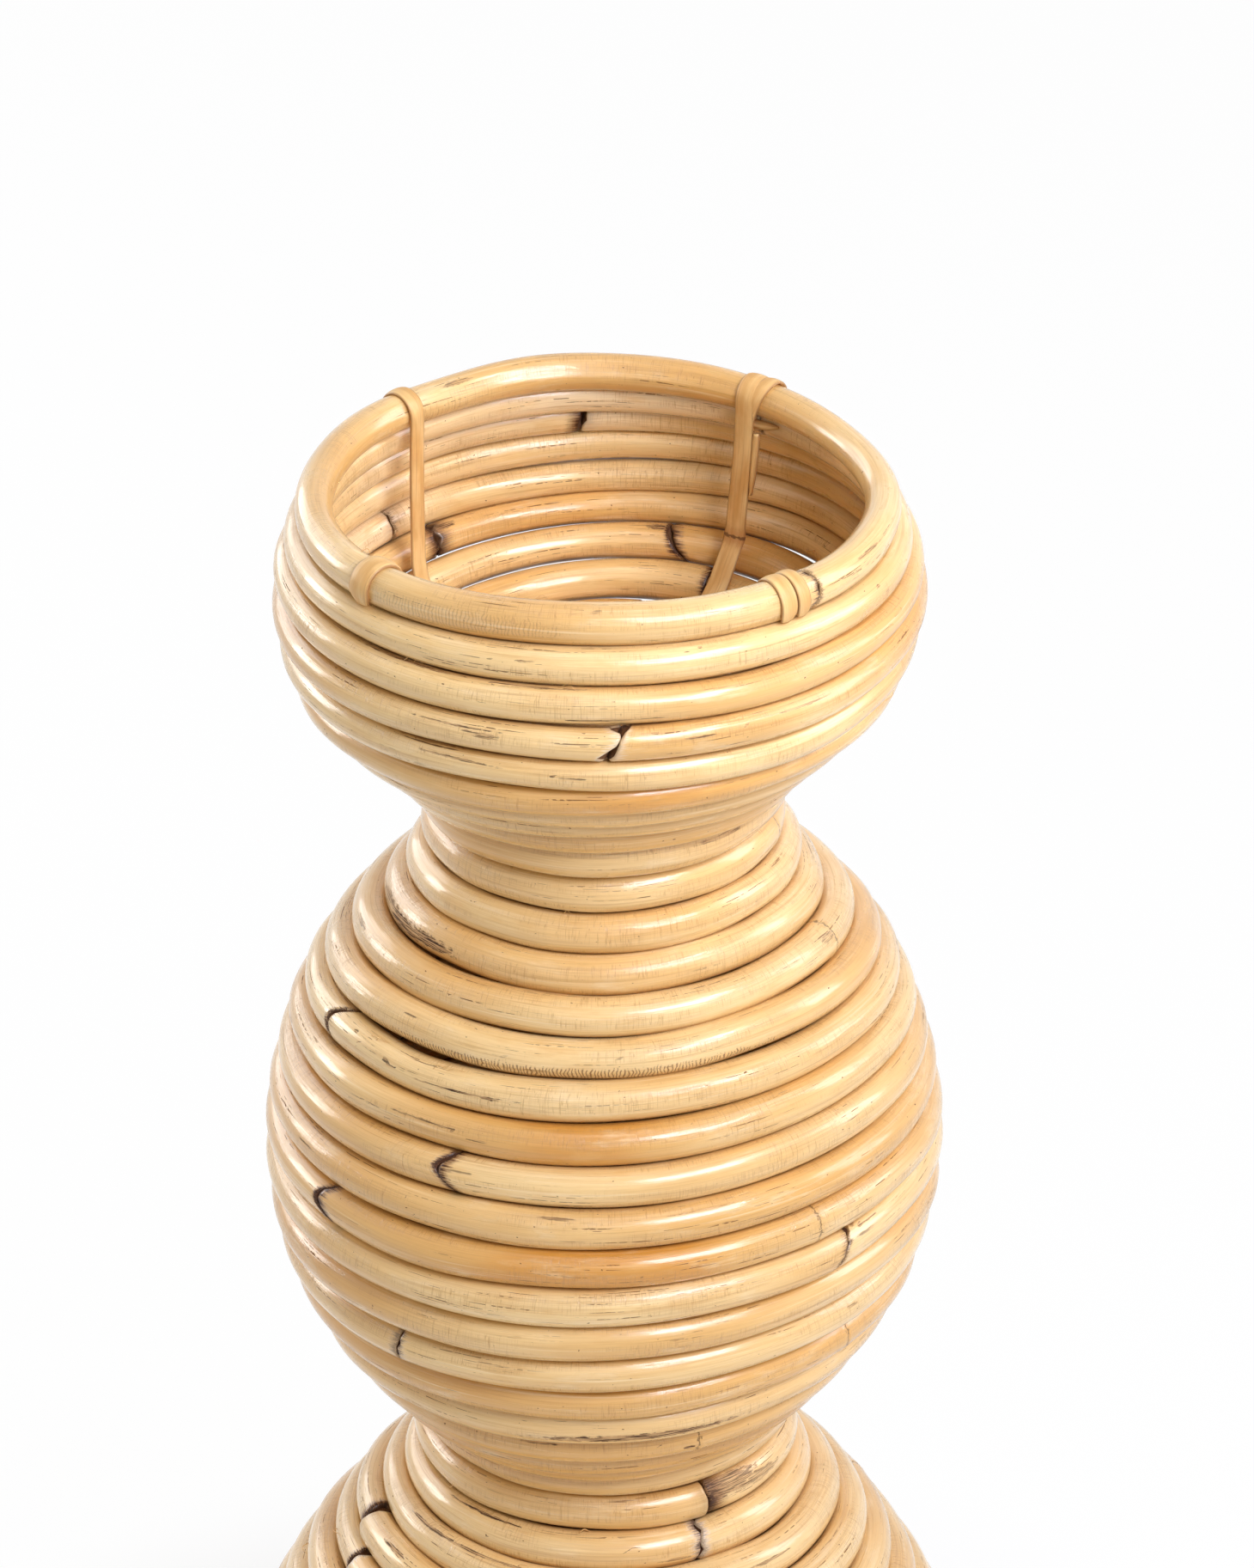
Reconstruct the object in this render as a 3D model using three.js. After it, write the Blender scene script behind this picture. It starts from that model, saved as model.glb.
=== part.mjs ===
// Rattan vase: whole canes bent into hoops, stacked along an outline of a bowl and two balls.
// Each hoop is one cane whose two ends butt together. Four flat split-cane ribs fold over the rim
// and run down the inside of the bowl, and a plywood board drops in to close the base.
// Millimetres, +Z up, the origin under the middle of the base. Azimuth 0 is the front, -Y,
// and azimuths grow towards +X.
import * as THREE from 'three';

// Canes and their seats
const BOWL_CANE = 16; // diameter of the thinner canes, from the rim to the first neck
const BALL_CANE = 17.5; // diameter of the canes from there down
const BOWL_HOOPS = 10; // hoops of the thinner cane, the rim hoop with them
const SEAT_GAP = 0.3; // clearance between pieces that touch
const BUTT_GAP = 0.6; // opening between the two ends of one hoop

// Outline through the cane centres, as arcs. Depths are below the centre of the rim hoop.
const BOWL_ARC = 70;
const BOWL_ARC_R = 56.5; // distance of the arc's centre from the axis
const RIM_ANGLE = 34; // degrees by which the bowl's wall leans in again at the rim
const BALL_ARC = 156;
const BALL_ARC_R = -20.5;
const BALL_DEPTH = 297;
const BASE_BALL_ARC = 180.5;
const BASE_BALL_ARC_R = -30;
const BASE_BALL_DEPTH = 611.5;
const UPPER_NECK_R = 73.5; // radius of the narrowest place between the bowl and the ball
const LOWER_NECK_R = 68.3; // radius of the narrowest place between the two balls
const FOOT_R = 115; // radius at which the lower ball is cut off to stand

// Split-cane ribs, folded over the rim
const RIB_WIDTH = 9;
const RIB_THICKNESS = 1.8;
const RIB_AZIMUTHS = [41, 145, 227, 308]; // spaced by eye, as on the hand-made vase
const RIB_TUCK = -31; // degrees past level where the fold ends, over the groove below the rim
const RIB_FOOT_HOOPS = 3; // hoops of the bowl's funnel that the rib's foot lies on

const BOARD_THICKNESS = 6;

// How round the solids are
const HOOP_STEPS = 24;
const HOOP_STEP = (2 * Math.PI) / HOOP_STEPS;
const RIM_SIDES = 9;
const FOLD_STEPS = 9;
const OUTLINE_STEPS = 4000;
const HALVINGS = 50;
const SEAT_SHARE = 0.5; // width of a seat's flat, as a share of the cane's diameter

// Butt joints in view on the front or inside the bowl: the hoop's count from the rim, and the
// joint's azimuth in degrees. Those of hoops 1, 2 and 5 lie beside or behind a rib.
const SEEN_JOINTS = {
  1: 44, 2: 145, 3: 183, 4: 2, 5: 227, 6: 222, 7: 161, 8: 148,
  16: -62, 18: -28, 20: -55, 21: 45, 23: -39, 30: 33, 31: 28, 33: -74, 34: -68,
};
// The other hoops have theirs staggered over the far side, in degrees
const BACK_JOINT_START = 118;
const BACK_JOINT_TURN = 47;
const BACK_JOINT_SPAN = 124;

const CANE_COLOUR = 0xe2bd87;
const RIM_COLOUR = 0xdcb37a;
const RIB_COLOUR = 0xd3a468;
const BOARD_COLOUR = 0xb9925f;

const UP = new THREE.Vector2(0, 1);
const DOWN = new THREE.Vector2(0, -1);
const rad = THREE.MathUtils.degToRad;

function arcAt(radius, centreR, centreHeight) {
  return { radius, centre: new THREE.Vector2(centreR, centreHeight) };
}

// The hollow arc between two bulging arcs: it touches both, and is neckR from the axis at its
// narrowest. Its radius is found by halving, because its reach down from the upper arc's centre
// and up from the lower one's both grow with it.
function neckBetween(upper, lower, neckR) {
  const reach = (arc, radius) => Math.sqrt((arc.radius + radius) ** 2 - (neckR + radius - arc.centre.x) ** 2);
  const apart = upper.centre.y - lower.centre.y;
  let small = 0;
  let large = apart;
  for (let i = 0; i < HALVINGS; i++) {
    const middle = (small + large) / 2;
    if (reach(upper, middle) + reach(lower, middle) < apart) small = middle;
    else large = middle;
  }
  return arcAt(large, neckR + large, upper.centre.y - reach(upper, large));
}

function angleFrom(centre, point) {
  return point.clone().sub(centre).angle();
}

function polar(centre, radius, angle) {
  return new THREE.Vector2(Math.cos(angle), Math.sin(angle)).multiplyScalar(radius).add(centre);
}

// The outline through the cane centres, x the radius and y the height over the rim hoop's centre
function makeOutline() {
  const bowl = arcAt(BOWL_ARC, BOWL_ARC_R, -BOWL_ARC * Math.sin(rad(RIM_ANGLE)));
  const ball = arcAt(BALL_ARC, BALL_ARC_R, -BALL_DEPTH);
  const baseBall = arcAt(BASE_BALL_ARC, BASE_BALL_ARC_R, -BASE_BALL_DEPTH);
  const footAngle = -Math.acos((FOOT_R - BASE_BALL_ARC_R) / BASE_BALL_ARC);
  const upperNeck = neckBetween(bowl, ball, UPPER_NECK_R);
  const lowerNeck = neckBetween(ball, baseBall, LOWER_NECK_R);

  const path = new THREE.Path();
  const follow = (arc, from, to, hollow) => {
    path.absarc(arc.centre.x, arc.centre.y, arc.radius, from, to, !hollow);
  };
  const facing = (arc, other) => angleFrom(arc.centre, other.centre);
  follow(bowl, rad(RIM_ANGLE), facing(bowl, upperNeck), false);
  follow(upperNeck, facing(upperNeck, bowl), facing(upperNeck, ball), true);
  follow(ball, facing(ball, upperNeck), facing(ball, lowerNeck), false);
  follow(lowerNeck, facing(lowerNeck, ball), facing(lowerNeck, baseBall), true);
  follow(baseBall, facing(baseBall, lowerNeck), footAngle, false);
  return { points: path.getSpacedPoints(OUTLINE_STEPS), lowerNeckHeight: lowerNeck.centre.y };
}

// Hoops seated one under another along the outline, each a cane and a clearance from the last
function seatHoops(outline) {
  const hoops = [{ at: outline[0], cane: BOWL_CANE }];
  let next = 1;
  while (next < outline.length) {
    const last = hoops[hoops.length - 1];
    const cane = hoops.length < BOWL_HOOPS ? BOWL_CANE : BALL_CANE;
    const step = (last.cane + cane) / 2 + SEAT_GAP;
    while (next < outline.length && outline[next].distanceTo(last.at) < step) next += 1;
    if (next === outline.length) break;
    const short = outline[next - 1].distanceTo(last.at);
    const long = outline[next].distanceTo(last.at);
    hoops.push({ at: outline[next - 1].clone().lerp(outline[next], (step - short) / (long - short)), cane });
  }
  return hoops.map(faceNeighbours);
}

// The directions in which a hoop's seats face: the hoop above, the hoop below, or straight up or down
function faceNeighbours(hoop, i, hoops) {
  const up = i > 0 ? hoops[i - 1].at.clone().sub(hoop.at).normalize() : UP;
  const down = i < hoops.length - 1 ? hoops[i + 1].at.clone().sub(hoop.at).normalize() : DOWN;
  const upAcross = new THREE.Vector2(up.y, -up.x);
  const downAcross = new THREE.Vector2(-down.y, down.x);
  const out = upAcross.clone().add(downAcross).normalize();
  return { ...hoop, up, down, upAcross, downAcross, out };
}

function outFrom(hoop, distance) {
  return hoop.at.clone().addScaledVector(hoop.out, distance);
}

// A corner of the seat above or below, on the outer side (1) or the inner side (-1)
function seatCorner(hoop, towards, across, side) {
  const half = hoop.cane / 2;
  const middle = hoop.at.clone().addScaledVector(towards, half);
  return middle.addScaledVector(across, side * half * SEAT_SHARE);
}

function upperCorner(hoop, side) {
  return seatCorner(hoop, hoop.up, hoop.upAcross, side);
}

function lowerCorner(hoop, side) {
  return seatCorner(hoop, hoop.down, hoop.downAcross, side);
}

// Distance of a seat's corners from the cane's centre, the furthest that a section reaches there
function cornerReach(hoop) {
  return (hoop.cane / 2) * Math.hypot(1, SEAT_SHARE);
}

// Section of a stacked cane: a flat at each seat and one corner outside and inside,
// which stand out far enough to give the six-sided section the round cane's area
function stackedSection(hoop) {
  const side = (hoop.cane / 2) * (Math.PI / 2 - SEAT_SHARE);
  return [
    outFrom(hoop, side), upperCorner(hoop, 1), upperCorner(hoop, -1),
    outFrom(hoop, -side), lowerCorner(hoop, -1), lowerCorner(hoop, 1),
  ];
}

// Section of the rim hoop: round, with one flat where it sits on the hoop below
function rimSection(hoop) {
  const start = angleFrom(hoop.at, lowerCorner(hoop, 1));
  const round = 2 * Math.PI - 2 * Math.atan(SEAT_SHARE);
  const section = [lowerCorner(hoop, -1), lowerCorner(hoop, 1)];
  for (let i = 1; i < RIM_SIDES; i++) {
    section.push(polar(hoop.at, hoop.cane / 2, start + (round * i) / RIM_SIDES));
  }
  return section;
}

// How near the axis the many-sided hoop's face lies at an azimuth, as a share of its corner radius
function facetShare(azimuth) {
  const past = azimuth - Math.floor(azimuth / HOOP_STEP) * HOOP_STEP;
  return Math.cos(HOOP_STEP / 2) / Math.cos(past - HOOP_STEP / 2);
}

// Azimuths of a hoop's rings of points: all the corners, and its two ends beside the butt gap
function hoopAzimuths(radius, jointDegrees) {
  const halfGap = BUTT_GAP / 2 / radius;
  const start = rad(jointDegrees) + halfGap;
  const end = start + 2 * Math.PI - 2 * halfGap;
  const azimuths = [start];
  for (let corner = Math.ceil(start / HOOP_STEP); corner * HOOP_STEP < end; corner++) {
    const azimuth = corner * HOOP_STEP;
    if (azimuth - start > halfGap && end - azimuth > halfGap) azimuths.push(azimuth);
  }
  return [...azimuths, end];
}

// One cane bent round the axis, open by the butt gap at its joint
function hoopGeometry(hoop, section, jointDegrees) {
  const azimuths = hoopAzimuths(hoop.at.x, jointDegrees);
  const sides = section.length;
  const positions = azimuths.flatMap((azimuth) => section.flatMap((point) => {
    const radius = point.x * facetShare(azimuth);
    return [radius * Math.sin(azimuth), -radius * Math.cos(azimuth), point.y];
  }));
  const faces = [];
  const lastRing = (azimuths.length - 1) * sides;
  for (let ring = 0; ring < lastRing; ring += sides) {
    for (let i = 0; i < sides; i++) {
      const j = (i + 1) % sides;
      faces.push(ring + i, ring + sides + i, ring + sides + j);
      faces.push(ring + i, ring + sides + j, ring + j);
    }
  }
  for (let i = 1; i < sides - 1; i++) {
    faces.push(0, i, i + 1);
    faces.push(lastRing, lastRing + i + 1, lastRing + i);
  }
  const geometry = new THREE.BufferGeometry();
  geometry.setAttribute('position', new THREE.Float32BufferAttribute(positions, 3));
  geometry.setIndex(faces);
  geometry.computeVertexNormals();
  return geometry;
}

function jointAzimuth(count) {
  return SEEN_JOINTS[count] ?? BACK_JOINT_START + ((count * BACK_JOINT_TURN) % BACK_JOINT_SPAN);
}

// Middle line of a rib: over the rim hoop, straight down, then along the funnel of the bowl
function ribLine(hoops) {
  const rim = hoops[0];
  const clear = (hoop) => cornerReach(hoop) + SEAT_GAP + RIB_THICKNESS / 2;
  const line = [];
  for (let i = 0; i <= FOLD_STEPS; i++) {
    line.push(polar(rim.at, clear(rim), rad(THREE.MathUtils.lerp(RIB_TUCK, 180, i / FOLD_STEPS))));
  }
  const legR = rim.at.x - clear(rim);
  const inside = (hoop) => outFrom(hoop, -clear(hoop));
  const landing = hoops.findIndex((hoop, i) => i > 0 && inside(hoop).x < legR);
  const footLine = hoops.slice(landing, landing + RIB_FOOT_HOOPS).map(inside);
  const slope = footLine[1].clone().sub(footLine[0]);
  const bend = footLine[0].clone().addScaledVector(slope, (legR - footLine[0].x) / slope.x);
  return [...line, bend, ...footLine];
}

// A band of even thickness on both sides of a line, with mitred bends
function bandShape(line, thickness) {
  const pieces = line.slice(1).map((point, i) => point.clone().sub(line[i]).normalize());
  const sides = line.map((point, i) => {
    const before = pieces[Math.max(i - 1, 0)];
    const after = pieces[Math.min(i, pieces.length - 1)];
    const along = before.clone().add(after).normalize();
    const mitre = thickness / 2 / along.dot(after);
    const aside = new THREE.Vector2(-along.y, along.x).multiplyScalar(mitre);
    return [point.clone().add(aside), point.clone().sub(aside)];
  });
  return new THREE.Shape([...sides.map((pair) => pair[0]), ...sides.map((pair) => pair[1]).reverse()]);
}

// One split-cane rib, its middle line in the plane of azimuth 0
function ribGeometry(hoops) {
  const shape = bandShape(ribLine(hoops), RIB_THICKNESS);
  const geometry = new THREE.ExtrudeGeometry(shape, { depth: RIB_WIDTH, bevelEnabled: false });
  geometry.translate(0, 0, -RIB_WIDTH / 2);
  const outward = new THREE.Vector3(0, -1, 0);
  const upward = new THREE.Vector3(0, 0, 1);
  return geometry.applyMatrix4(new THREE.Matrix4().makeBasis(outward, upward, outward.clone().cross(upward)));
}

// The base board lies on the inner shoulder of the foot hoop
function boardGeometry(foot) {
  const underside = upperCorner(foot, -1).y + SEAT_GAP;
  const geometry = new THREE.CylinderGeometry(foot.at.x, foot.at.x, BOARD_THICKNESS, HOOP_STEPS);
  geometry.rotateX(Math.PI / 2);
  return geometry.translate(0, 0, underside + BOARD_THICKNESS / 2);
}

function named(name, geometry, color, roughness) {
  const material = new THREE.MeshStandardMaterial({ color, roughness, metalness: 0 });
  const mesh = new THREE.Mesh(geometry, material);
  mesh.name = name;
  return mesh;
}

// A hoop's name: its section of the vase and its count there from the top
function hoopNames(hoops, lowerNeckHeight) {
  const counts = { bowl: 0, ball: 0, base_ball: 0 };
  return hoops.map((hoop, i) => {
    if (i === 0) return 'rim_hoop';
    if (i === hoops.length - 1) return 'foot_hoop';
    const body = hoop.at.y > lowerNeckHeight ? 'ball' : 'base_ball';
    const section = i < BOWL_HOOPS ? 'bowl' : body;
    counts[section] += 1;
    return `${section}_hoop_${String(counts[section]).padStart(2, '0')}`;
  });
}

const outline = makeOutline();
const hoops = seatHoops(outline.points);
const names = hoopNames(hoops, outline.lowerNeckHeight);
const foot = hoops[hoops.length - 1];

const vase = new THREE.Group();
vase.position.z = foot.cane / 2 - foot.at.y;

hoops.forEach((hoop, i) => {
  const section = i === 0 ? rimSection(hoop) : stackedSection(hoop);
  const geometry = hoopGeometry(hoop, section, jointAzimuth(i + 1));
  vase.add(named(names[i], geometry, i === 0 ? RIM_COLOUR : CANE_COLOUR, 0.45));
});

RIB_AZIMUTHS.forEach((azimuth, i) => {
  const rib = named(`bowl_rib_${i + 1}`, ribGeometry(hoops), RIB_COLOUR, 0.5);
  rib.rotation.z = rad(azimuth);
  vase.add(rib);
});

vase.add(named('base_board', boardGeometry(foot), BOARD_COLOUR, 0.8));

export default vase;
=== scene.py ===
"""Rattan vase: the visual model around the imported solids.

Every hoop is one bent cane with its own bends, taper, nodes and butt joint, and replaces the solid
hoop in its place. Split-cane strips folded over the rim replace the four ribs. Lengths are in
millimetres until a mesh is written, which is in metres. Azimuth 0 is the front, -Y, and azimuths
grow towards +X. A section angle is 0 outward, 90 up and 180 inward. Hoops count from 1, the rim.
"""
import math

import bpy
import numpy as np
from mathutils import Matrix, Vector


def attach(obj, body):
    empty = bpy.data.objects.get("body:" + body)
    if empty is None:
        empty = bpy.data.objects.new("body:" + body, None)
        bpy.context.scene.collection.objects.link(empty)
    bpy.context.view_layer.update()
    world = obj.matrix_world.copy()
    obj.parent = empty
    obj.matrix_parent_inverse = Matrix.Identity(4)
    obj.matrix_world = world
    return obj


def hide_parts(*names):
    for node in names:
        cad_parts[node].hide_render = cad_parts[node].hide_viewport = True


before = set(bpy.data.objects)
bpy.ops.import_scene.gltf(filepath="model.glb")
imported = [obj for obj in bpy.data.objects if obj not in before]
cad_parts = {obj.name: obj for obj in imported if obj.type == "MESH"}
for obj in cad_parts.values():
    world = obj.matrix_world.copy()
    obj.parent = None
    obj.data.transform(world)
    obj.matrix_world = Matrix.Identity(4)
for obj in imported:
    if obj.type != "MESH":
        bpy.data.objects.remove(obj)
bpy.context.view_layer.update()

MM = 0.001
TURN = 2 * math.pi


def add_object(name, data):
    made = bpy.data.objects.new(name, data)
    bpy.context.scene.collection.objects.link(made)
    return made


# ---- camera
IMAGE_SIZE = (1460, 1825)
RIM_HEIGHT = 726.6  # of the planned rim hoop's middle, which the camera is placed from
RIM_PIXEL = (699.0, 567.8)  # where that middle is in the image
CAMERA_DISTANCE = 4000.0
CAMERA_RISE = 27.47  # degrees above level, seen from the rim hoop's middle
FOCAL_PIXELS = 11542.0
SENSOR = 36.0
CLIP = (0.1, 50)  # metres


def make_camera():
    rise = math.radians(CAMERA_RISE)
    turn = math.atan((IMAGE_SIZE[0] / 2 - RIM_PIXEL[0]) / FOCAL_PIXELS)
    down = rise + math.atan((IMAGE_SIZE[1] / 2 - RIM_PIXEL[1]) / FOCAL_PIXELS)
    level = math.cos(down)
    ahead = Vector((math.sin(turn) * level, math.cos(turn) * level, -math.sin(down)))
    right = Vector((math.cos(turn), -math.sin(turn), 0))
    data = bpy.data.cameras.new("camera")
    data.sensor_width = SENSOR
    data.lens = SENSOR * FOCAL_PIXELS / max(IMAGE_SIZE)
    data.clip_start, data.clip_end = CLIP
    camera = add_object("camera", data)
    back, up = CAMERA_DISTANCE * math.cos(rise), CAMERA_DISTANCE * math.sin(rise)
    camera.location = Vector((0, -back, RIM_HEIGHT + up)) * MM
    camera.rotation_euler = Matrix((right, right.cross(ahead), -ahead)).transposed().to_euler()
    bpy.context.scene.camera = camera


# ---- the plan: where the solids are
RIM_TO_FOOT = ["rim_hoop"]
for stem in ("bowl_hoop_", "ball_hoop_", "base_ball_hoop_"):
    RIM_TO_FOOT += sorted(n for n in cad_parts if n.startswith(stem))
RIM_TO_FOOT.append("foot_hoop")
HOOPS = len(RIM_TO_FOOT)
BOWL_HOOPS = sum(n.startswith("bowl_hoop_") for n in RIM_TO_FOOT) + 1
BOWL_CANE, BALL_CANE = 16.0, 17.5
CORNER_STEP = 15.0  # degrees between the corners of the solid hoops
ON_CORNER, OFF_CORNER = 0.01, 0.05  # degrees from the nearest one: within, on it; beyond, off it
SETTLING_ROUNDS = 12


def points_of(node):
    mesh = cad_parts[node].data
    co = np.empty(len(mesh.vertices) * 3)
    mesh.vertices.foreach_get("co", co)
    return co.reshape(-1, 3) / MM


def read_plan():
    """Radius and height of each solid hoop, its cane's radius and its joint's azimuth."""
    means, joints = [], []
    for node in RIM_TO_FOOT:
        p = points_of(node)
        azimuth = np.degrees(np.arctan2(p[:, 0], -p[:, 1])) % 360
        off = abs(azimuth - np.round(azimuth / CORNER_STEP) * CORNER_STEP)
        ends = np.radians(azimuth[off > OFF_CORNER])
        joints.append(math.degrees(math.atan2(np.sin(ends).mean(), np.cos(ends).mean())))
        at_corner = p[off < ON_CORNER]
        corner = np.round(azimuth[off < ON_CORNER] / CORNER_STEP).astype(int)
        corner %= round(360 / CORNER_STEP)
        ring = at_corner[corner == np.bincount(corner).argmax()]
        section = np.stack([np.hypot(ring[:, 0], ring[:, 1]), ring[:, 2]], 1)
        means.append(np.unique(np.round(section, 2), axis=0).mean(0))
    means = np.array(means)
    half = np.where(np.arange(HOOPS) < BOWL_HOOPS, BOWL_CANE, BALL_CANE) / 2
    centres = means.copy()
    centres[0] = (means[0][0], points_of("rim_hoop")[:, 2].max() - half[0] + 0.1)
    for _ in range(SETTLING_ROUNDS):  # a six-sided section's mean lies off its centre to both seats
        step = np.diff(centres, axis=0)
        step /= np.linalg.norm(step, axis=1)[:, None]
        seats = np.vstack([[0, 1], -step]) + np.vstack([step, [0, -1]])
        centres[1:] = (means - half[:, None] / 3 * seats)[1:]
    return centres, half, np.array(joints)


CENTRES, HALF, JOINTS = read_plan()


# ---- how the hand-made stack departs from the plan
GRID = np.radians(np.arange(0, 360, 2.5))  # azimuths at which the departures are worked out
LAST_DEPARTING = 41  # from this hoop down the stack keeps to the plan

# How far each cane's middle line lies outside and above the plan: all round, then as waves that are
# fullest at the front, at the right, at front and back, at front right and back left, and at three
# places. Each has its size at some hoops.
OUTWARD = [
    {1: -0.3, 2: -2.2, 4: 1.5, 6: 4.7, 8: 3.7, 9: 0.9, 10: -3.6, 11: -4.8, 12: -1.9, 14: -0.6,
     18: -3.6, 22: -2.4, 28: -0.2, 30: 3.3, 34: -1.8},
    {1: 2.2, 3: -1.5, 5: -1.4, 7: -1, 10: 2.3, 15: -0.9, 17: -2.2, 22: -1.3, 25: -0.6, 30: -0.9,
     36: 1.7},
    {1: -2, 3: -1.3, 5: -1.1, 9: -0.2, 13: 0.3, 18: -0.7, 25: 0.8, 30: 0.5, 36: 1.1},
    {1: -0.7, 3: 1.4, 10: 5.1, 15: -1.4, 19: -0.3, 24: -0.8, 26: 0.8, 28: -0.4, 36: -1.2},
    {1: -1.1, 6: -3, 10: -0.7, 16: -0.7, 22: -2.2, 26: 0.2, 36: 1.3},
    {1: -0.5, 5: 1.2, 10: -0.8, 16: -0.3, 25: 1.4, 36: -1.3},
]
UPWARD = [
    {1: -3.5, 2: -3.6, 4: -0.3, 7: 4.1, 9: 3.4, 10: 2.1, 11: -0.7, 12: -1.4, 13: -1, 17: -0.4,
     21: 0.9, 25: 1.1, 30: 1.8, 34: -1.5},
    {1: 1.7, 3: -0.5, 6: -1.7, 8: -1.1, 12: 1.5, 14: 1.4, 17: -0.1, 22: -0.2, 25: -0.3, 30: 1.2,
     36: 1.1},
    {1: -1.4, 3: -0.4, 6: 1.6, 9: 1.3, 13: 1, 17: 2.8, 22: 1, 27: 1.4, 30: 0.2, 34: -0.2,
     36: -1.3},
    {1: 1.5, 4: 1.3, 10: 1.4, 16: 1.5, 22: 0.7, 25: 0.2, 28: -0.6, 36: 0.3},
    {1: 0.2, 5: -1.5, 9: -0.6, 15: 0.3, 19: -0.1, 23: 1.3, 27: 1.1, 36: -1.1},
    {1: 0, 5: 1.2, 8: 0.4, 15: -2.2, 20: -0.7, 28: -0.3, 36: 0.4},
]


def along_stack(stops):
    """A value for each hoop, drawn straight between the stops {hoop: value}."""
    stops = {**stops, LAST_DEPARTING: 0}
    counts = sorted(stops)
    return np.interp(np.arange(1, HOOPS + 1), counts, [stops[c] for c in counts])


def departures(waves_of_hoops):
    """Departure of every hoop (rows) at every azimuth of the grid."""
    shapes = [np.ones_like(GRID)]
    shapes += [f(n * GRID) for n in (1, 2) for f in (np.cos, np.sin)] + [np.cos(3 * GRID)]
    return np.stack([along_stack(stops) for stops in waves_of_hoops], 1) @ np.stack(shapes)


def seat_canes(radius, height):
    """Cane radii with which each cane touches both neighbours, from the middle lines' spacing."""
    spacing = np.hypot(np.diff(radius, axis=0), np.diff(height, axis=0))
    cane = np.empty_like(radius)
    cane[1:-1] = (spacing[:-1] + spacing[1:]) / 4
    cane[0] = spacing[0] - cane[1]
    cane[-1] = spacing[-1] - cane[-2]
    return cane


MIDDLE_RADIUS = CENTRES[:, :1] + departures(OUTWARD)
MIDDLE_HEIGHT = CENTRES[:, 1:] + departures(UPWARD)
CANE_RADIUS = seat_canes(MIDDLE_RADIUS, MIDDLE_HEIGHT)


def waves(rng, azimuth, size, slowest, fastest):
    """A smooth random function round the hoop, with waves from slowest to fastest per turn."""
    out = np.zeros_like(azimuth)
    for n in range(slowest, fastest + 1):
        out += rng.normal() / n ** 0.7 * np.cos(n * azimuth + rng.uniform(0, TURN))
    return out * size / math.sqrt(sum(n ** -1.4 for n in range(slowest, fastest + 1)) / 2)


def bump_at(x, middle, width):
    return np.exp(-((x - middle) / width) ** 2)


def near(degrees, middle, width):
    """1 at a middle, fading away on both sides of it round the circle."""
    return bump_at((degrees - middle + 180) % 360, 180, width)


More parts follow.
